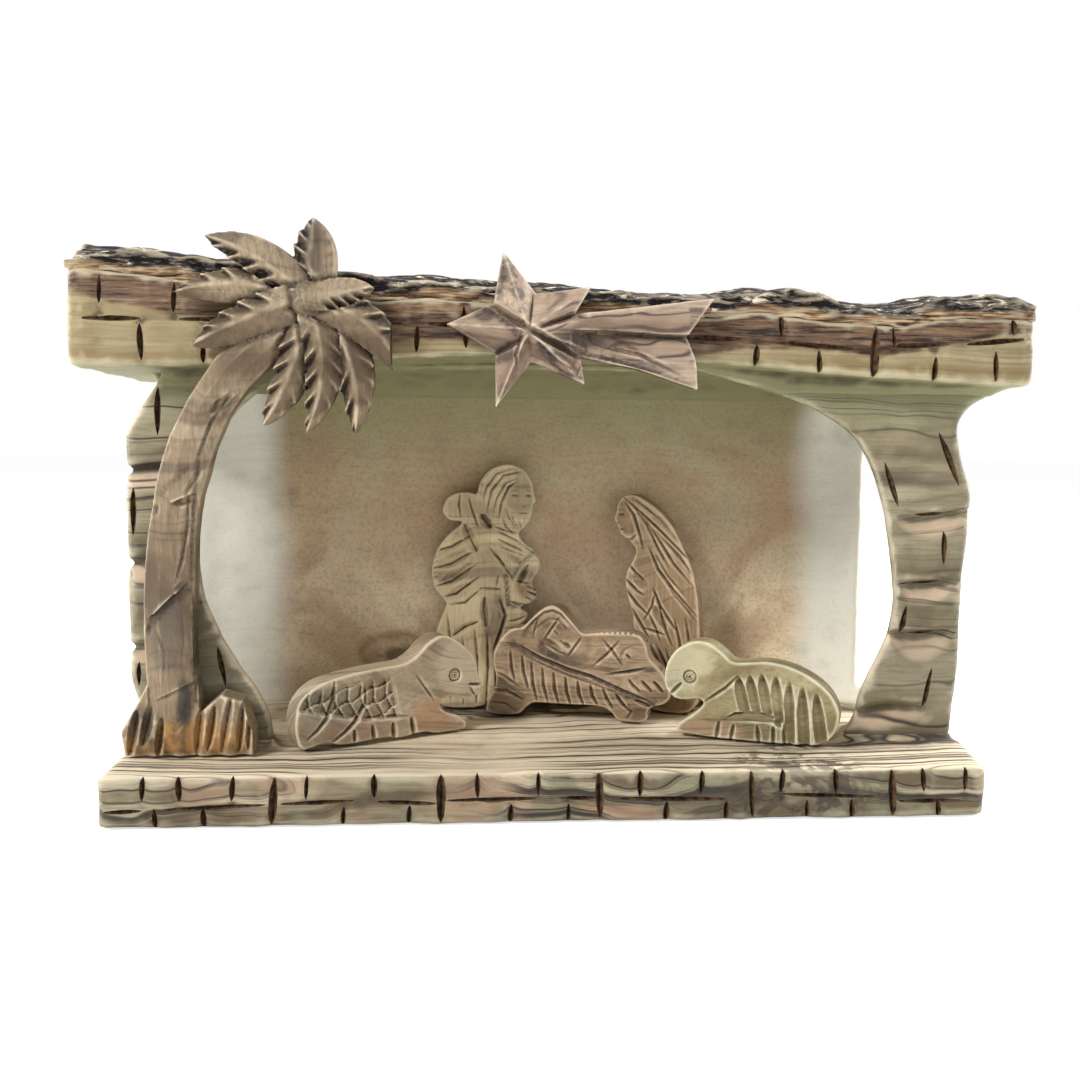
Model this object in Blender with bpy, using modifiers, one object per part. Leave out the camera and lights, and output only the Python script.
"""A carved wooden nativity grotto: a cave with a bark roof, a palm, a comet star and glued figures.

Metres, +Z up, +X to the right seen from the front, the open front faces -Y.
The origin is the middle of the base's underside.
"""

import math

import bmesh
import bpy
from mathutils import Matrix, Vector

# Clearance that every glued joint keeps between two pieces
GLUE_GAP = 0.0003

# Base slab
BASE_WIDTH = 0.250
BASE_DEPTH = 0.096
BASE_THICKNESS = 0.0155
BASE_SPLAY = 0.006
BASE_CORNER = 0.004

# Cave shell behind the pillars
CAVE_HALF_WIDTH = 0.122
CAVE_BACK_WALL = 0.009
CAVE_DEPTH = 0.033
CAVE_CEILING = 0.1295
CAVE_SAG = 0.070
CAVE_SIDE_POWER = 3.0
CAVE_HEIGHT_POWER = 6.0
SHELL_HALF_WIDTH = 0.119
SHELL_BACK_INSET = 0.002
WINDOW_FRONT_INSET = 0.0015
WINDOW_WIDTH = 0.019
WINDOW_LOW = 0.0085
WINDOW_HEIGHT = 0.081

# Pillars
PORCH_DEPTH = 0.028
PILLAR_DEPTH = 0.023
LEFT_PILLAR_INSET = 0.001
ROOT = 0.005

# Roof slab, its two courses and its bark
ROOF_OVERHANG_LEFT = 0.012
ROOF_OVERHANG_RIGHT = 0.020
ROOF_OVERHANG_FRONT = 0.010
ROOF_UNDERSIDE = 0.1265
ROOF_ARCH_RISE = 0.0055
ROOF_DROP_RIGHT = 0.00225
BARK_THICKNESS = 0.0045
BARK_CREST = 0.0035
BARK_BUMP = 0.0011
BARK_EDGE_BEVEL = 0.0018
ROOF_END_ROUND = 0.003
ROOF_STATIONS = 34
ROOF_ROWS = 9
BARK_WAVES = ((47.0, 9.0), (83.0, -13.0), (0.0, 19.0))

# Knife cuts
NOTCH_WIDTH = 0.0016
NOTCH_DEPTH = 0.0020
FULL_NOTCH_WIDTH = 0.0022
GROOVE_WIDTH = 0.0012
GROOVE_DEPTH = 0.0011
EDGE_NOTCH_DEPTH = 0.0045
EDGE_NOTCH_WIDTH = 0.0034
SCOOP_DEPTH = 0.0030
CARVED_STROKE = 0.0011
CARVED_DEPTH = 0.0009

# Palm
PALM_THICKNESS = 0.0085
PALM_HUB_HEIGHT = 0.130
PALM_FROM_LEFT_END = 0.017
TRUNK_WIDTH = 0.0135
FROND_RIDGE = 0.0016
FROND_NOTCHES = 5
FROND_STEP = 0.00012
FROND_ROOT = -0.07

# Star
STAR_THICKNESS = 0.0055
STAR_PEAK = 0.0026
STAR_LENGTH = 0.0755
STAR_RISE = 0.0115

# Figures
STANDING_HEIGHT = 0.0845
STANDING_THICKNESS = 0.0075
KNEELING_HEIGHT = 0.0744
KNEELING_THICKNESS = 0.0075
MANGER_LENGTH = 0.063
MANGER_THICKNESS = 0.009
LEFT_LAMB_LENGTH = 0.0622
RIGHT_LAMB_LENGTH = 0.054
LAMB_THICKNESS = 0.009
FIGURE_CHAMFER = 0.0009

# Where a plate's drawing origin stands: share of the base's width from its middle, and of its depth
STANDING_PLACE = (-0.104, 0.284)
KNEELING_PLACE = (0.200, 0.160)
MANGER_PLACE = (-0.048, 0.177)
LEFT_LAMB_PLACE = (-0.188, -0.146)
RIGHT_LAMB_PLACE = (0.252, -0.208)
STAR_PLACE = -0.0288
KNEELING_TURN = -25.0
MANGER_TURN = -16.6
LEFT_LAMB_TURN = 27.0
RIGHT_LAMB_TURN = -23.5

# Heights and places that follow from the sizes above
FLOOR = BASE_THICKNESS
FRONT = -BASE_DEPTH / 2
BACK = BASE_DEPTH / 2
PILLAR_FRONT = FRONT + PORCH_DEPTH
PILLAR_BACK = PILLAR_FRONT + PILLAR_DEPTH
ROOF_FRONT = PILLAR_FRONT - ROOF_OVERHANG_FRONT
ROOF_LEFT = -BASE_WIDTH / 2 - ROOF_OVERHANG_LEFT
ROOF_RIGHT = BASE_WIDTH / 2 + ROOF_OVERHANG_RIGHT
SHELL_BACK = BACK - SHELL_BACK_INSET
CAVE_CENTRE = SHELL_BACK - CAVE_BACK_WALL - CAVE_DEPTH

# Colours and finish: base colour, roughness
FINISHES = {
    "olive_wood": ((0.66, 0.54, 0.36, 1.0), 0.62),
    "palm_wood": ((0.52, 0.38, 0.26, 1.0), 0.66),
    "star_wood": ((0.55, 0.42, 0.31, 1.0), 0.62),
    "standing_figure_wood": ((0.50, 0.42, 0.28, 1.0), 0.66),
    "kneeling_figure_wood": ((0.48, 0.36, 0.24, 1.0), 0.66),
    "manger_wood": ((0.42, 0.30, 0.20, 1.0), 0.66),
    "left_lamb_wood": ((0.48, 0.38, 0.27, 1.0), 0.64),
    "right_lamb_wood": ((0.64, 0.56, 0.38, 1.0), 0.60),
}

# The drawing's own size in millimetres: the base's width, and the height from the floor to the roof
DRAWN_BASE_SPAN = 250
DRAWN_PILLAR_RISE = 111

# Outlines are drawn by hand in millimetres and are scaled to the named length or height
LEFT_PILLAR_INNER = [
    (-79.5, 0), (-80, 7), (-81.5, 13), (-84.5, 19), (-90, 26), (-95, 35.5), (-99, 44.5), (-100.5, 56),
    (-100, 74), (-97.5, 85), (-94.5, 92), (-89, 99.5), (-81, 106), (-70, 110.5),
    (-52, 114.5), (-44, 118),
]
RIGHT_PILLAR_INNER = [
    (88, 0), (93.5, 7), (95.5, 16), (99.5, 24), (104, 34.5), (105.5, 44), (104, 56.5), (101.5, 71.5),
    (97.5, 84), (91.5, 94), (76, 103), (57, 108.5), (40, 114), (34, 118),
]
RIGHT_PILLAR_OUTER = [
    (140, 110), (137, 106.5), (131, 104), (127.5, 100), (126.5, 95), (128, 88), (132, 77), (131.5, 68),
    (130.5, 56), (129.5, 44), (130, 32), (129.5, 19), (128, 8), (128, 0),
]
STAR_OUTLINE = [
    (-7, 21.8), (2.5, 10.6), (17.8, 12.3), (13.2, 4.6), (33, 7), (52.7, 9.6), (45.5, -0.8),
    (48, -7.5), (49, -16.2), (31.4, -10.5), (15, -7.3), (16.5, -15), (1.2, -8.5), (-9, -22), (-9, -6.2),
    (-22.8, 1.4), (-9.6, 8),
]
STANDING_OUTLINE = [
    (-10, 0), (-9.5, 13), (-9, 25), (-5.5, 34), (-4.5, 36.5), (-7.5, 39.5), (-9.5, 43), (-10, 48),
    (-8.5, 54.5), (-4.5, 60), (1.5, 64.5), (-4, 64.5), (-6.5, 68), (-5, 72.5), (-1, 74.5), (3, 74.5),
    (5.5, 73.5), (6.5, 78), (10, 82.5), (16, 84.5), (21.5, 82.5), (24.5, 78), (25, 73.5), (26, 71.5),
    (24.5, 70), (24.5, 66.5), (22, 62.5), (19.5, 60.5), (21.5, 57), (25, 55), (27.5, 51), (27, 47.5),
    (24, 43.5), (27, 39), (24.5, 36), (20, 35), (24, 32.5), (21, 28.5), (14, 24), (12, 17), (12, 0),
]
KNEELING_OUTLINE = [
    (-15, 0), (-14, 10), (-13.5, 19.5), (-15, 25.5), (-19, 28), (-19, 33), (-21, 38.5), (-22, 43),
    (-21.5, 48), (-19, 52), (-18, 55.5), (-21, 58.5), (-24, 60.5), (-25, 63.5), (-26.5, 65.5), (-25.5, 68),
    (-25, 71.5), (-22.5, 74), (-18, 74), (-11, 69.5), (-6, 64.5), (-2.5, 58), (1, 50.5), (3, 43),
    (4, 34), (4.5, 22), (5, 0),
]
MANGER_OUTLINE = [
    (-6, 0), (-5.5, 4), (-2, 10.5), (-3.5, 18), (-3, 22), (0, 27), (3, 29.5), (7, 30), (10.5, 34),
    (14, 37), (17, 38), (20, 36.5), (24, 32), (27, 28.5), (33, 29.5), (42, 30), (46.5, 29), (48.5, 25.5),
    (49, 21.5), (54.5, 16.5), (57, 9.5), (54.5, 6.5), (49, 5), (49, 0), (39, 0), (37, 3), (33, 5),
    (22, 4.5), (11, 5), (8, 3), (5.5, 0),
]
LEFT_LAMB_OUTLINE = [
    (-28.5, 0), (-30.2, 6), (-29.5, 13), (-26, 17.5), (-21.5, 20), (-14, 21.5), (-5, 22.5), (4.5, 23),
    (8.5, 25), (12.5, 29), (16.5, 31), (20.5, 30.5), (26.5, 26), (29.5, 22.5), (30.2, 17.5), (32, 13),
    (30, 10.5), (27, 9.2), (21.5, 11), (17.5, 11), (16.5, 9), (18.5, 6.5), (23.5, 5), (26.3, 2.5),
    (26, 0), (15, 0), (12, 1.2), (2, 0), (-1, 1.2), (-16, 0), (-20.5, 2), (-24, 1),
]
RIGHT_LAMB_OUTLINE = [
    (-23.4, 0), (-23, 3.5), (-18, 7), (-14.5, 10.5), (-16, 12), (-20, 11.2), (-23.5, 11.2), (-26.5, 13.5),
    (-27.5, 17.5), (-26.5, 23), (-23.5, 27.5), (-18, 30.3), (-13, 29.8), (-9, 27), (-6, 24), (-1, 24.5),
    (5, 25.2), (12, 24), (18.5, 21), (23.5, 17), (26.5, 11.5), (26, 6), (23, 1.5), (19, 0),
]

# Palm, drawn in millimetres: each frond's tip from the hub, its greatest width and its sideways bow
FRONDS = [
    ((2, 21.6), 12.5, -0.5), ((17.5, 3.5), 8.5, 0), ((25.7, -20.4), 11.5, 4.6), ((12.2, -37), 12, 5.5),
    ((-1.4, -37), 10.5, 4.5), ((-13.2, -35), 11, 2.5), ((-32, -13.2), 11, -1), ((-36, 1.2), 10.5, -2.7),
    ((-27.4, 16.2), 10.5, -2.7),
]
NOTCHED_ON_THE_LEFT = (0, 2, 8)
HUB = (40.5, 130)
HUB_RADIUS = 8.0
TRUNK_SPINE = [
    (-0.5, 13), (-0.8, 24), (-0.8, 36), (0, 50), (1.2, 64), (3.6, 77), (7.6, 90), (12.5, 100), (19.5, 110),
    (30, 120), (40.5, 130),
]
TRUNK_SCALE_STEP = 0.5
FOOT_LEFT = [(-14, -3), (-15, 7.5), (-11.8, 13), (-9, 18)]
FOOT_RIGHT = [(7.5, 13), (13.5, 18), (19.5, 16), (22.5, 7), (22.5, -3)]

# The roof front's hand-cut lines: share of its length, and millimetres above its underside's ends
ROOF_WOOD_LINE = [
    (0.0, 28.6), (0.113, 25.4), (0.152, 24.0), (0.312, 20.3), (0.362, 21.3), (0.535, 18.3), (0.656, 17.0),
    (0.70, 19.6), (0.73, 17.8), (0.773, 16.3), (0.85, 15.6), (0.90, 18.3), (1.0, 18.0),
]
ROOF_SEAM_LINE = [
    (0.0, 13.7), (0.33, 13.9), (0.65, 10.6), (0.77, 10.0), (0.84, 7.6), (0.91, 9.8), (0.965, 11.5),
    (1.0, 12.5),
]

# Knife cuts as shares of the face's length, counted from its left end
ROOF_UPPER_NOTCHES = (0.037, 0.110, 0.190, 0.290, 0.398, 0.520, 0.620, 0.723, 0.843, 0.971)
ROOF_LOWER_NOTCHES = (0.077, 0.138, 0.240, 0.350, 0.460, 0.570, 0.698, 0.765, 0.887, 0.953)
ROOF_FULL_NOTCHES = (0.823,)
ROOF_SEAM_CUTS = ((0.0, 0.16), (0.17, 0.33), (0.34, 0.64), (0.65, 0.83), (0.84, 1.0))
BASE_UPPER_NOTCHES = (
    0.051, 0.090, 0.148, 0.228, 0.302, 0.416, 0.484, 0.598, 0.669, 0.761, 0.823, 0.926, 0.975,
)
BASE_LOWER_NOTCHES = (0.064, 0.116, 0.268, 0.340, 0.453, 0.518, 0.628, 0.697, 0.791, 0.843, 0.944)
BASE_FULL_NOTCHES = (0.192, 0.376, 0.553, 0.726, 0.890)
BASE_COURSE_LINE = [
    (0.012, 0.32), (0.192, 0.45), (0.376, 0.53), (0.553, 0.46), (0.726, 0.54), (0.890, 0.34), (0.99, 0.40),
]

# Knife cuts on the pillars' fronts, in millimetres from the base's middle and above the floor
LEFT_PILLAR_NOTCHES = [
    ((-113.5, 108), (-113.7, 92)), ((-121, 78.5), (-121.3, 62.5)), ((-120.4, 27), (-120.6, 18)),
    ((-100.8, 56), (-102, 41)), ((-98.5, 30.5), (-96.5, 18)),
]
RIGHT_PILLAR_NOTCHES = [
    ((104.2, 86.5), (108, 72)), ((119, 96), (126.5, 79)), ((122.2, 66.5), (122.6, 54.5)),
    ((111, 42.5), (109, 30)), ((120, 23), (117, 8)),
]
LEFT_EDGE_NOTCHES = (82.5, 55.0, 30.0)
RIGHT_EDGE_NOTCHES = (75.0, 50.0, 33.5)
RIGHT_SCOOPS = [(120.5, 67.5, 14), (121, 44, 12), (119.5, 26.5, 11)]


def millimetres(value):
    """A drawn length in metres."""
    return value / 1000.0


def collection(name):
    """A new collection under the scene's own."""
    made = bpy.data.collections.new(name)
    bpy.context.scene.collection.children.link(made)
    return made


def clear_scene():
    """An empty scene."""
    for thing in list(bpy.data.objects):
        bpy.data.objects.remove(thing, do_unlink=True)


clear_scene()
PARTS = collection("nativity_grotto")
CUTTERS = collection("cutters")


def helper(obj):
    """Marks an object as a cutter or a building block that isn't a piece of its own."""
    obj.hide_render = True
    obj.display_type = "WIRE"
    for owner in list(obj.users_collection):
        owner.objects.unlink(obj)
    CUTTERS.objects.link(obj)
    return obj


def object_from(bm, name):
    """A mesh object from a bmesh, in the parts' collection."""
    bmesh.ops.recalc_face_normals(bm, faces=bm.faces)
    mesh = bpy.data.meshes.new(name)
    bm.to_mesh(mesh)
    bm.free()
    obj = bpy.data.objects.new(name, mesh)
    PARTS.objects.link(obj)
    return obj


def fitted(outline, size, along=0):
    """A drawn outline scaled so that its extent along u (0) or v (1) is the given size."""
    drawn = [point[along] for point in outline]
    factor = size / (max(drawn) - min(drawn))
    return [(u * factor, v * factor) for u, v in outline], factor


def plate(name, outline, thickness):
    """A closed plate: its outline stands in X and Z, its front at y = 0 and its back at y = thickness."""
    curve = bpy.data.curves.new(name, "CURVE")
    curve.dimensions = "2D"
    curve.fill_mode = "BOTH"
    curve.extrude = thickness / 2
    spline = curve.splines.new("POLY")
    spline.points.add(len(outline) - 1)
    for point, (u, v) in zip(spline.points, outline):
        point.co = (u, v, 0, 1)
    spline.use_cyclic_u = True
    flat = bpy.data.objects.new(name + "_outline", curve)
    PARTS.objects.link(flat)
    bpy.context.view_layer.update()
    mesh = bpy.data.meshes.new_from_object(flat.evaluated_get(bpy.context.evaluated_depsgraph_get()))
    bpy.data.objects.remove(flat, do_unlink=True)
    bm = bmesh.new()
    bm.from_mesh(mesh)
    bpy.data.meshes.remove(mesh)
    bmesh.ops.remove_doubles(bm, verts=bm.verts, dist=0.00001)
    bmesh.ops.dissolve_limit(bm, angle_limit=math.radians(0.5), verts=bm.verts, edges=bm.edges)
    upright = Matrix.Translation((0, thickness / 2, 0)) @ Matrix.Rotation(math.radians(90), 4, "X")
    bmesh.ops.transform(bm, matrix=upright, verts=bm.verts)
    return object_from(bm, name)


def sliced_block(name, columns, rows, layers, shape):
    """A unit cube sliced into columns, rows and layers, each corner then moved by shape(s, t, h)."""
    bm = bmesh.new()
    bmesh.ops.create_cube(bm, size=1.0, matrix=Matrix.Translation((0.5, 0.5, 0.5)))
    for axis, count in enumerate((columns, rows, layers)):
        for step in range(1, count):
            normal = [0, 0, 0]
            normal[axis] = 1
            everything = bm.verts[:] + bm.edges[:] + bm.faces[:]
            cut_at = [value * step / count for value in normal]
            bmesh.ops.bisect_plane(bm, geom=everything, plane_co=cut_at, plane_no=normal)
    for vert in bm.verts:
        vert.co = shape(*vert.co)
    return object_from(bm, name)


def combine(target, other, operation, crossing=False, solver="EXACT"):
    """Joins another solid to the target or cuts it away; crossing is for cuts that cross each other."""
    step = target.modifiers.new(operation.lower() + "_" + other.name, "BOOLEAN")
    step.operation = operation
    step.solver = solver
    if solver == "EXACT":
        step.use_self = crossing
    step.object = helper(other)
    return step


def settled(target):
    """Works the modifiers into the mesh, so that a piece can be placed afterwards."""
    bpy.context.view_layer.update()
    used = [step.object for step in target.modifiers if step.type == "BOOLEAN"]
    target.data = bpy.data.meshes.new_from_object(target.evaluated_get(bpy.context.evaluated_depsgraph_get()))
    target.modifiers.clear()
    for thing in used:
        bpy.data.objects.remove(thing, do_unlink=True)
    return target


def chamfer(target, width):
    """Breaks the sharp edges of a plate."""
    step = target.modifiers.new("broken_edges", "BEVEL")
    step.width = width
    step.segments = 1
    step.limit_method = "ANGLE"
    step.angle_limit = math.radians(60)
    return step


def finish(target, slot):
    """Gives a piece its own material."""
    colour, roughness = FINISHES[slot]
    material = bpy.data.materials.new(slot)
    material.use_nodes = True
    shader = material.node_tree.nodes["Principled BSDF"]
    shader.inputs["Base Color"].default_value = colour
    shader.inputs["Roughness"].default_value = roughness
    shader.inputs["Metallic"].default_value = 0.0
    material.diffuse_color = colour
    target.data.materials.clear()
    target.data.materials.append(material)
    return target


def add_cut(bm, centre, half_sizes, tilt=0.0):
    """Adds one knife cut: a slim eight-sided spindle, tilted about the Y axis."""
    place = (
        Matrix.Translation(centre)
        @ Matrix.Rotation(tilt, 4, "Y")
        @ Matrix.Diagonal((*half_sizes, 1.0))
    )
    bmesh.ops.create_uvsphere(bm, u_segments=4, v_segments=2, radius=1.0, matrix=place)


def strokes(name, lines, width, depth, front=0.0):
    """Knife strokes on a plate's front face, each from one (u, v) point to another."""
    bm = bmesh.new()
    for (u0, v0), (u1, v1) in lines:
        middle = ((u0 + u1) / 2, front, (v0 + v1) / 2)
        length = math.hypot(u1 - u0, v1 - v0)
        tilt = math.atan2(u1 - u0, v1 - v0)
        add_cut(bm, middle, (width / 2, depth, length / 2), tilt)
    return object_from(bm, name)


def span(low, high, share):
    """The value at a share of the way from low to high."""
    return low + (high - low) * share


def line_height(line, share):
    """The height of a hand-cut line at a share of its length."""
    for (s0, h0), (s1, h1) in zip(line, line[1:]):
        if share <= s1:
            return span(h0, h1, (share - s0) / (s1 - s0))
    return line[-1][1]


def underside(share):
    """The roof's lower edge: it arches up over the cave's middle and lies lower at the right."""
    return ROOF_UNDERSIDE + ROOF_ARCH_RISE * math.sin(math.pi * share) ** 2 - ROOF_DROP_RIGHT * share


def seam_height(share):
    """The cut line between the roof's two courses."""
    return ROOF_UNDERSIDE + millimetres(line_height(ROOF_SEAM_LINE, share))


def wood_top(share):
    """The top of the roof's wood, under the bark: higher at the left end."""
    return ROOF_UNDERSIDE + millimetres(line_height(ROOF_WOOD_LINE, share))


def roof_height(share, level):
    """A height on the roof's front: level 0 is its underside, 1 the seam and 2 the top of the wood."""
    heights = (underside(share), seam_height(share), wood_top(share))
    course = int(level > 1)
    return span(heights[course], heights[course + 1], level - course)


def roof_corner(s, t, h):
    """Maps the sliced block to the roof slab: wood below, cracked bark with a low crest on top."""
    (wide, wide_turn), (narrow, narrow_turn), (_, ripple) = BARK_WAVES
    bumps = math.sin(wide * s + wide_turn * t) + math.sin(narrow * s + narrow_turn * t) * math.cos(ripple * t)
    crown = BARK_CREST * (1 - (2 * t - 1) ** 2)
    layer = round(h * 3)
    x = span(ROOF_LEFT, ROOF_RIGHT, s)
    y = span(ROOF_FRONT, BACK, t)
    z = roof_height(s, min(layer, 2))
    if layer in (0, 3):
        x += ROOF_END_ROUND * ((s == 0) - (s == 1))
    if layer == 3:
        y += BARK_EDGE_BEVEL * ((t == 0) - (t == 1))
        z += BARK_THICKNESS + crown + BARK_BUMP * bumps
    return Vector((x, y, z))


def make_roof():
    """The roof slab with its bark."""
    return sliced_block("roof_slab", ROOF_STATIONS, ROOF_ROWS, 3, roof_corner)


def base_outline():
    """The base's plan: its right end runs outwards behind the front edge."""
    left = -BASE_WIDTH / 2
    right = BASE_WIDTH / 2
    return [
        (left + BASE_CORNER, FRONT), (right - BASE_CORNER, FRONT),
        (right + BASE_SPLAY * 0.2, FRONT + BASE_CORNER),
        (right + BASE_SPLAY, PILLAR_FRONT), (right + BASE_SPLAY, BACK - BASE_CORNER),
        (right + BASE_SPLAY - BASE_CORNER, BACK), (left + BASE_CORNER, BACK), (left, BACK - BASE_CORNER),
        (left, FRONT + BASE_CORNER),
    ]


def make_base():
    """The base slab, lying flat."""
    base = plate("grotto_block", [(x, -y) for x, y in base_outline()], BASE_THICKNESS)
    base.data.transform(Matrix.Rotation(math.radians(90), 4, "X"))
    base.data.transform(Matrix.Translation((0, 0, -min(v.co.z for v in base.data.vertices))))
    return base


def pillar_points(points):
    """Hand-drawn pillar edge points in metres, scaled to the base's width and the roof's height."""
    across = BASE_WIDTH / millimetres(DRAWN_BASE_SPAN)
    upward = (ROOF_UNDERSIDE - FLOOR) / millimetres(DRAWN_PILLAR_RISE)
    return [(millimetres(x) * across, FLOOR + millimetres(z) * upward) for x, z in points]


def pillar_solid(name, inner, outer):
    """A pillar between its inner and outer edges, rooted in the base and the roof."""
    low = FLOOR - ROOT
    high = ROOF_UNDERSIDE + ROOT * 1.4
    inner_edge = [(inner[0][0], low)] + inner + [(inner[-1][0], high)]
    outer_edge = [(outer[0][0], high)] + outer + [(outer[-1][0], low)]
    solid = plate(name, inner_edge + outer_edge, PILLAR_DEPTH)
    solid.location.y = PILLAR_FRONT
    return solid


def make_left_pillar():
    """The pillar behind the palm."""
    x = -BASE_WIDTH / 2 + LEFT_PILLAR_INSET
    return pillar_solid("left_pillar", pillar_points(LEFT_PILLAR_INNER), [(x, ROOF_UNDERSIDE), (x, FLOOR)])


def make_right_pillar():
    """The pillar with the scalloped front."""
    return pillar_solid("right_pillar", pillar_points(RIGHT_PILLAR_INNER), pillar_points(RIGHT_PILLAR_OUTER))


def cave_hollow():
    """The rounded hollow behind the pillars, open at the front."""
    bm = bmesh.new()
    bmesh.ops.create_uvsphere(bm, u_segments=36, v_segments=18, radius=1.0)
    for vert in bm.verts:
        x, z, y = vert.co
        low, high = 0.0, 3.0
        for _ in range(30):
            middle = (low + high) / 2
            inside = (
                (abs(x) ** CAVE_SIDE_POWER + abs(y) ** CAVE_SIDE_POWER) * middle ** CAVE_SIDE_POWER
                + abs(z) ** CAVE_HEIGHT_POWER * middle ** CAVE_HEIGHT_POWER
            )
            low, high = (middle, high) if inside < 1 else (low, middle)
        vert.co = (x * low * CAVE_HALF_WIDTH, y * low * CAVE_DEPTH, z * low * CAVE_SAG)
    everything = bm.verts[:] + bm.edges[:] + bm.faces[:]
    front = PILLAR_BACK - ROOT - CAVE_CENTRE
    cut = bmesh.ops.bisect_plane(
        bm, geom=everything, plane_co=(0, front, 0), plane_no=(0, -1, 0), clear_outer=True)
    rim = [edge for edge in cut["geom_cut"] if isinstance(edge, bmesh.types.BMEdge)]
    bmesh.ops.edgeloop_fill(bm, edges=rim)
    hollow = object_from(bm, "cave_hollow")
    hollow.location = (0, CAVE_CENTRE, CAVE_CEILING - CAVE_SAG)
    return hollow


def window_hole():
    """The upright opening in each side wall, cut right through both."""
    low = FLOOR + WINDOW_LOW
    high = low + WINDOW_HEIGHT
    near = PILLAR_BACK + WINDOW_FRONT_INSET
    far = near + WINDOW_WIDTH
    round_off = WINDOW_WIDTH * 0.35
    outline = [
        (near, low + round_off), (near + round_off, low), (far - round_off, low), (far, low + round_off),
        (far, high - round_off), (far - round_off, high), (near + round_off, high), (near, high - round_off),
    ]
    length = 2 * (SHELL_HALF_WIDTH + ROOT)
    hole = plate("side_windows", outline, length)
    hole.data.transform(Matrix.Translation((0, -length / 2, 0)))
    hole.data.transform(Matrix.Rotation(math.radians(90), 4, "Z"))
    return hole


def make_shell():
    """The back wall with its curved ends and the two side windows."""
    front = PILLAR_BACK - ROOT
    depth = SHELL_BACK - front
    low = FLOOR - ROOT
    high = ROOF_UNDERSIDE + ROOT * 1.2
    half = SHELL_HALF_WIDTH
    shell = plate("cave_shell", [(-half, low), (half, low), (half, high), (-half, high)], depth)
    shell.location.y = front
    combine(shell, cave_hollow(), "DIFFERENCE")
    combine(shell, window_hole(), "DIFFERENCE")
    return shell


def face_notches(name, shares, low, high, width, front):
    """Upright knife cuts across one course of a front face."""
    bm = bmesh.new()
    for share in shares:
        x, z0, z1 = low(share)[0], low(share)[1], high(share)[1]
        add_cut(bm, (x, front, (z0 + z1) / 2), (width / 2, NOTCH_DEPTH, (z1 - z0) / 2))
    return object_from(bm, name)


def roof_point(level):
    """A function that gives (x, z) on the roof's front at a share of its length."""
    def point(share):
        return span(ROOF_LEFT, ROOF_RIGHT, share), roof_height(share, level)
    return point


def base_point(level):
    """A function that gives (x, z) on the base's front at a share of its length."""
    def point(share):
        middle = line_height(BASE_COURSE_LINE, share)
        height = {0: 0.0, 1: middle - 0.03, 2: middle + 0.06, 3: 1.0}[level]
        return span(-BASE_WIDTH / 2, BASE_WIDTH / 2, share), height * BASE_THICKNESS
    return point


def cut_courses(block):
    """The lines between the courses and the upright cuts on the roof's and the base's fronts."""
    seam = roof_point(1)
    roof_seams = [(seam(start), seam(end)) for start, end in ROOF_SEAM_CUTS]
    left = -BASE_WIDTH / 2
    base_seams = []
    for (s0, h0), (s1, h1) in zip(BASE_COURSE_LINE, BASE_COURSE_LINE[1:]):
        base_seams.append((
            (left + BASE_WIDTH * (s0 + 0.004), BASE_THICKNESS * h0),
            (left + BASE_WIDTH * (s1 - 0.012), BASE_THICKNESS * (h1 + 0.05)),
        ))
    combine(block, strokes("roof_seams", roof_seams, GROOVE_WIDTH, GROOVE_DEPTH, ROOF_FRONT), "DIFFERENCE")
    combine(block, strokes("base_seams", base_seams, GROOVE_WIDTH, GROOVE_DEPTH, FRONT), "DIFFERENCE")
    rows = [
        ("roof_upper", ROOF_UPPER_NOTCHES, roof_point(1.1), roof_point(2.0), NOTCH_WIDTH, ROOF_FRONT),
        ("roof_lower", ROOF_LOWER_NOTCHES, roof_point(0.05), roof_point(0.9), NOTCH_WIDTH, ROOF_FRONT),
        ("roof_full", ROOF_FULL_NOTCHES, roof_point(0.03), roof_point(1.97), FULL_NOTCH_WIDTH, ROOF_FRONT),
        ("base_upper", BASE_UPPER_NOTCHES, base_point(2), base_point(3), NOTCH_WIDTH, FRONT),
        ("base_lower", BASE_LOWER_NOTCHES, base_point(0), base_point(1), NOTCH_WIDTH, FRONT),
        ("base_full", BASE_FULL_NOTCHES, base_point(0), base_point(3), FULL_NOTCH_WIDTH, FRONT),
    ]
    for name, shares, low, high, width, front in rows:
        combine(block, face_notches(name + "_notches", shares, low, high, width, front), "DIFFERENCE")


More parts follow.
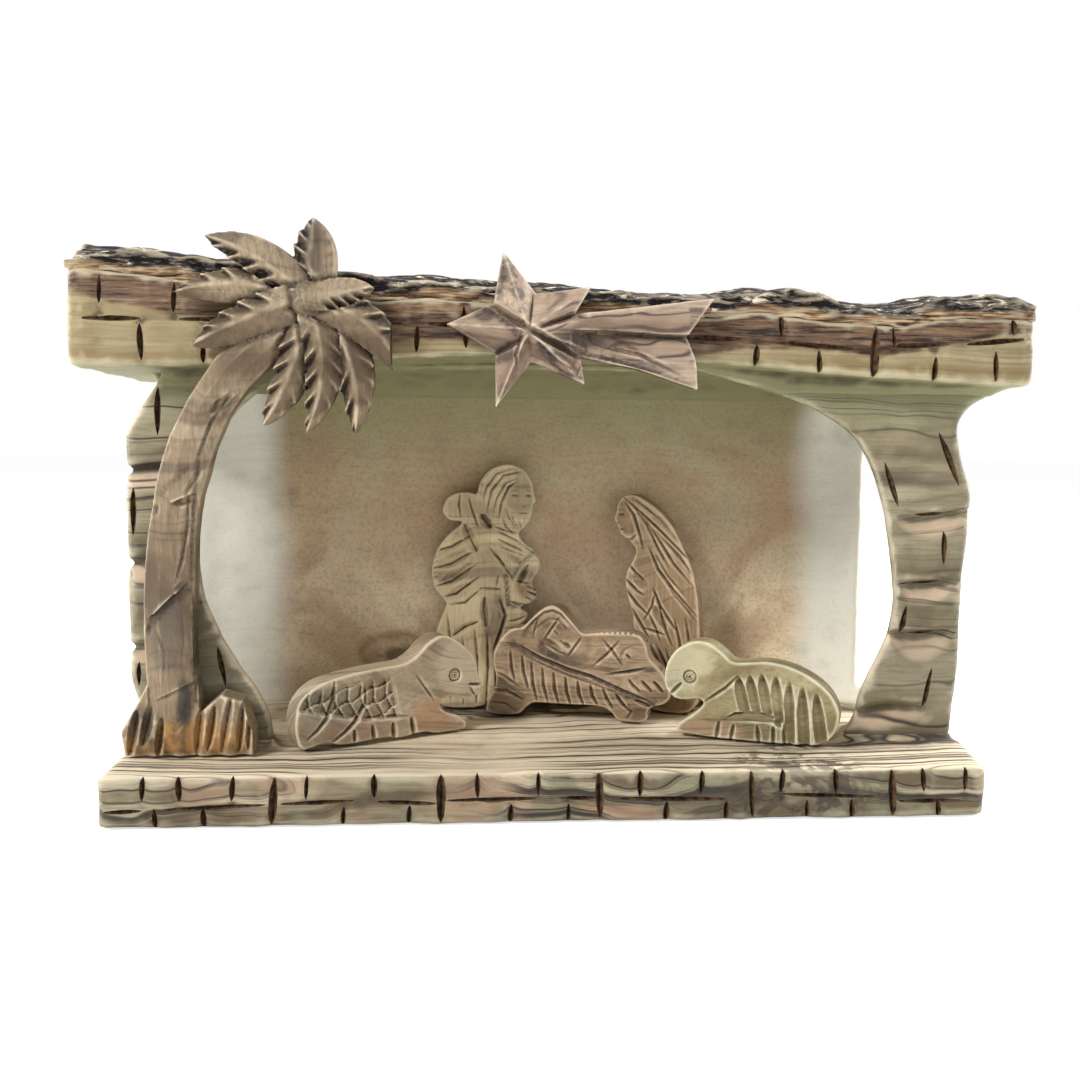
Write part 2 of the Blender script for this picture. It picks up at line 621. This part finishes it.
def cut_pillars(block):
    """Stone-like knife cuts, edge notches and scoops on the two pillars."""
    lines = LEFT_PILLAR_NOTCHES + RIGHT_PILLAR_NOTCHES
    fronts = [tuple(pillar_points(line)) for line in lines]
    cuts = strokes("pillar_notches", fronts, FULL_NOTCH_WIDTH, NOTCH_DEPTH, PILLAR_FRONT)
    combine(block, cuts, "DIFFERENCE")
    bm = bmesh.new()
    middle = PILLAR_FRONT + PILLAR_DEPTH / 2
    left = -BASE_WIDTH / 2 + LEFT_PILLAR_INSET
    right = BASE_WIDTH / 2 + BASE_SPLAY
    for edge, heights in ((left, LEFT_EDGE_NOTCHES), (right, RIGHT_EDGE_NOTCHES)):
        for height in heights:
            z = pillar_points([(0, height)])[0][1]
            add_cut(bm, (edge, middle, z), (EDGE_NOTCH_DEPTH, PILLAR_DEPTH * 0.8, EDGE_NOTCH_WIDTH / 2))
    combine(block, object_from(bm, "edge_notches"), "DIFFERENCE")
    bm = bmesh.new()
    for x, z, half in RIGHT_SCOOPS:
        (px, pz), = pillar_points([(x, z)])
        place = Matrix.Translation((px, PILLAR_FRONT, pz)) @ Matrix.Diagonal(
            (millimetres(half), SCOOP_DEPTH, millimetres(half) * 0.5, 1.0))
        bmesh.ops.create_uvsphere(bm, u_segments=12, v_segments=8, radius=1.0, matrix=place)
    combine(block, object_from(bm, "pillar_scoops"), "DIFFERENCE")


def make_block():
    """The cave block, one carved solid."""
    block = make_base()
    combine(block, make_shell(), "UNION")
    combine(block, make_left_pillar(), "UNION")
    combine(block, make_right_pillar(), "UNION")
    combine(block, make_roof(), "UNION")
    cut_pillars(block)
    cut_courses(block)
    return finish(block, "olive_wood")


def frond_outline(tip, width, bow, steps=6):
    """A pointed leaf from the hub at (0, 0) to its tip, bowed sideways."""
    length = math.hypot(*tip)
    along = Vector(tip) / length
    across = Vector((-along.y, along.x))

    def spine(share):
        return along * (length * share) + across * (bow * 4 * share * (1 - share))

    def half(share):
        return width / 2 * (1 - abs(1.6 * share - 0.6) ** 2.6) ** 0.8

    shares = [span(FROND_ROOT, 1.0, step / steps) for step in range(steps)]
    left = [spine(share) + across * half(share) for share in shares]
    right = [spine(share) - across * half(share) for share in reversed(shares)]
    return left + [Vector(tip)] + right, spine, half


def trunk_outline():
    """The palm's curved, scaly trunk on its spreading foot, drawn in millimetres."""
    left, right = [], []
    for step, point in enumerate(TRUNK_SPINE):
        before = Vector(TRUNK_SPINE[max(step - 1, 0)])
        after = Vector(TRUNK_SPINE[min(step + 1, len(TRUNK_SPINE) - 1)])
        along = (after - before).normalized()
        across = Vector((-along.y, along.x)) * (TRUNK_WIDTH * 1000 / 2 + TRUNK_SCALE_STEP * (step % 2))
        left.append(tuple(Vector(point) + across))
        right.append(tuple(Vector(point) - across))
    return FOOT_LEFT + left + right[::-1] + FOOT_RIGHT


def make_palm():
    """The palm: one carved plate that stands on the base and leans forward against the roof's front."""
    scale = PALM_HUB_HEIGHT / HUB[1]

    def drawn(point):
        return point[0] * scale, point[1] * scale

    def from_hub(point):
        return drawn((HUB[0] + point[0], HUB[1] + point[1]))

    palm = plate("palm_tree", [drawn(point) for point in trunk_outline()], PALM_THICKNESS)
    notch_lines = [[], []]
    for index, (tip, width, bow) in enumerate(FRONDS):
        outline, spine, half = frond_outline(tip, width, bow)
        set_back = FROND_STEP * (1 + index * 4 % len(FRONDS))
        leaf = [from_hub(point) for point in outline]
        frond = plate(f"frond_{index + 1}", leaf, PALM_THICKNESS - 2 * set_back)
        frond.location.y = set_back
        raise_front(frond, FROND_RIDGE, from_hub(spine(0.45)))
        combine(palm, frond, "UNION", solver="MANIFOLD")
        along = Vector(tip).normalized()
        across = Vector((-along.y, along.x)) * (-1 if index in NOTCHED_ON_THE_LEFT else 1)
        for step in range(FROND_NOTCHES):
            share = span(0.42, 0.86, step / (FROND_NOTCHES - 1))
            outer = spine(share) - across * half(share) * 0.9
            inner = spine(share - 0.08) + across * half(share) * 0.1
            notch_lines[index % 2].append((from_hub(outer), from_hub(inner)))
    disc = []
    for step in range(10):
        turn = step * math.pi / 5
        disc.append(from_hub((HUB_RADIUS * math.cos(turn), HUB_RADIUS * math.sin(turn))))
    hub_disc = plate("crown_hub", disc, PALM_THICKNESS - 2 * FROND_RIDGE)
    hub_disc.location.y = FROND_RIDGE
    combine(palm, hub_disc, "UNION", solver="MANIFOLD")
    for side, lines in zip(("odd", "even"), notch_lines):
        cuts = strokes(side + "_frond_notches", lines, CARVED_STROKE * 1.4, CARVED_DEPTH + FROND_RIDGE)
        combine(palm, cuts, "DIFFERENCE", solver="MANIFOLD")
    stand_palm(settled(palm))
    return finish(palm, "palm_wood")


def raise_front(solid, height, peak):
    """Raises the front of a plate to a low point at the given (u, v)."""
    bm = bmesh.new()
    bm.from_mesh(solid.data)
    front = max(bm.faces, key=lambda face: -face.calc_center_median().y * face.calc_area())
    poked = bmesh.ops.poke(bm, faces=[front])
    poked["verts"][0].co = (peak[0], -height, peak[1])
    bmesh.ops.recalc_face_normals(bm, faces=bm.faces)
    bm.to_mesh(solid.data)
    bm.free()


def stand_palm(palm):
    """Leans the palm from the pillar's front to the roof's, and trims its foot level with the floor."""
    rise = ROOF_UNDERSIDE - FLOOR
    lean = math.atan((PILLAR_FRONT - ROOF_FRONT) / rise)
    thickness = (PALM_THICKNESS + GLUE_GAP) / math.cos(lean)
    palm.location = (-BASE_WIDTH / 2 + PALM_FROM_LEFT_END, PILLAR_FRONT - thickness, FLOOR)
    palm.rotation_euler.x = lean
    top = FLOOR + GLUE_GAP
    below = [(-BASE_WIDTH, -FLOOR), (BASE_WIDTH, -FLOOR), (BASE_WIDTH, top), (-BASE_WIDTH, top)]
    ground = plate("palm_ground", below, BASE_DEPTH)
    ground.location.y = FRONT
    combine(palm, ground, "DIFFERENCE")


def make_star():
    """The comet star, one faceted plate against the roof's front."""
    outline, factor = fitted(STAR_OUTLINE, STAR_LENGTH)
    star = plate("comet_star", outline, STAR_THICKNESS)
    raise_front(star, STAR_PEAK, (0, 0))
    star.location = (
        BASE_WIDTH * STAR_PLACE, ROOF_FRONT - GLUE_GAP - STAR_THICKNESS, ROOF_UNDERSIDE + STAR_RISE)
    veins = [((12, 1.5), (44, 4.5)), ((13, -1), (43, -5)), ((14, -4.5), (44, -12))]
    lines = [tuple((u * factor, v * factor) for u, v in line) for line in veins]
    cuts = strokes("tail_veins", lines, CARVED_STROKE, CARVED_DEPTH + STAR_PEAK * 0.6)
    combine(star, cuts, "DIFFERENCE")
    cuts.parent = star
    return finish(star, "star_wood")


def make_figure(name, drawing, size, along, thickness, place, turn, cut_lines, slot):
    """A figure cut from a plate, standing on the floor, with knife strokes on its front."""
    outline, factor = fitted(drawing, size, along)
    figure = plate(name, outline, thickness)
    chamfer(figure, FIGURE_CHAMFER)
    figure.location = (BASE_WIDTH * place[0], BASE_DEPTH * place[1], FLOOR + GLUE_GAP)
    figure.rotation_euler.z = math.radians(turn)
    lines = [tuple((u * factor, v * factor) for u, v in line) for line in cut_lines]
    cuts = strokes(name + "_strokes", lines, CARVED_STROKE, CARVED_DEPTH)
    combine(figure, cuts, "DIFFERENCE", crossing=True)
    cuts.parent = figure
    return finish(figure, slot)


def ribs(start, step, length, count, lean=0.0):
    """Evenly spaced strokes: the first from its start, each one a step on, with its length up the plate."""
    lines = []
    for index in range(count):
        u = start[0] + step[0] * index
        v = start[1] + step[1] * index
        lines.append(((u, v), (u + lean, v + length)))
    return lines


def make_standing_figure():
    """The standing figure: sleeve folds, scarf, belt and the robe's long folds."""
    sleeve = ribs((-7.5, 41), (2.2, 2.4), 1.0, 6, 5.5)
    cuts = sleeve + [
        ((-5, 35.5), (10, 33.5)), ((12, 54), (22, 52)), ((13, 50), (25, 48.5)), ((16, 42), (25, 41)),
        ((-4, 30), (-2, 4)), ((1, 30), (2.5, 3)), ((6, 31), (6.5, 4)), ((4.5, 70), (-2, 67)),
    ]
    make_figure("standing_figure", STANDING_OUTLINE, STANDING_HEIGHT, 1, STANDING_THICKNESS,
                STANDING_PLACE, 0.0, cuts, "standing_figure_wood")


def make_kneeling_figure():
    """The kneeling figure: the veil's long slanted folds."""
    cuts = [
        ((-17, 70), (-1, 38)), ((-20, 66), (-4, 30)), ((-21, 62), (-15, 50)), ((-17, 50), (-8, 26)),
        ((-18, 42), (-10, 22)), ((-12, 62), (2, 30)), ((-5, 26), (-6, 4)), ((0, 28), (0, 4)),
        ((-11, 18), (-11, 4)),
    ]
    make_figure("kneeling_figure", KNEELING_OUTLINE, KNEELING_HEIGHT, 1, KNEELING_THICKNESS,
                KNEELING_PLACE, KNEELING_TURN, cuts, "kneeling_figure_wood")


def make_manger():
    """The manger with its rim and ribs, and the swaddled child on top."""
    cuts = ribs((2, 12), (3.9, -0.45), 9.0, 12, -2.6) + [
        ((1, 22.5), (23, 15)), ((25, 15), (53, 8)), ((26, 27), (33, 20)),
        ((26, 20), (33, 26)), ((10, 33), (22, 21)), ((8, 28), (17, 19)),
    ]
    make_figure("manger_with_child", MANGER_OUTLINE, MANGER_LENGTH, 0, MANGER_THICKNESS,
                MANGER_PLACE, MANGER_TURN, cuts, "manger_wood")


def make_lambs():
    """The two lying lambs: fleece cuts, collar and mouth."""
    left = ribs((-25, 4), (5.2, 0.4), 14.0, 7, -3.4) + [
        ((8.5, 22.5), (14, 9)), ((27.5, 15), (31, 13.5)), ((-22, 10), (-2, 4.2)),
    ]
    right = ribs((-8, 10), (4.6, -0.4), 12.5, 7, -1.2) + [
        ((-10.5, 25), (-13.5, 13)), ((-26, 16.5), (-23.5, 14)), ((-15, 5.5), (14, 5.5)),
    ]
    make_figure("lamb_left", LEFT_LAMB_OUTLINE, LEFT_LAMB_LENGTH, 0, LAMB_THICKNESS,
                LEFT_LAMB_PLACE, LEFT_LAMB_TURN, left, "left_lamb_wood")
    make_figure("lamb_right", RIGHT_LAMB_OUTLINE, RIGHT_LAMB_LENGTH, 0, LAMB_THICKNESS,
                RIGHT_LAMB_PLACE, RIGHT_LAMB_TURN, right, "right_lamb_wood")


make_block()
make_palm()
make_star()
make_standing_figure()
make_kneeling_figure()
make_manger()
make_lambs()
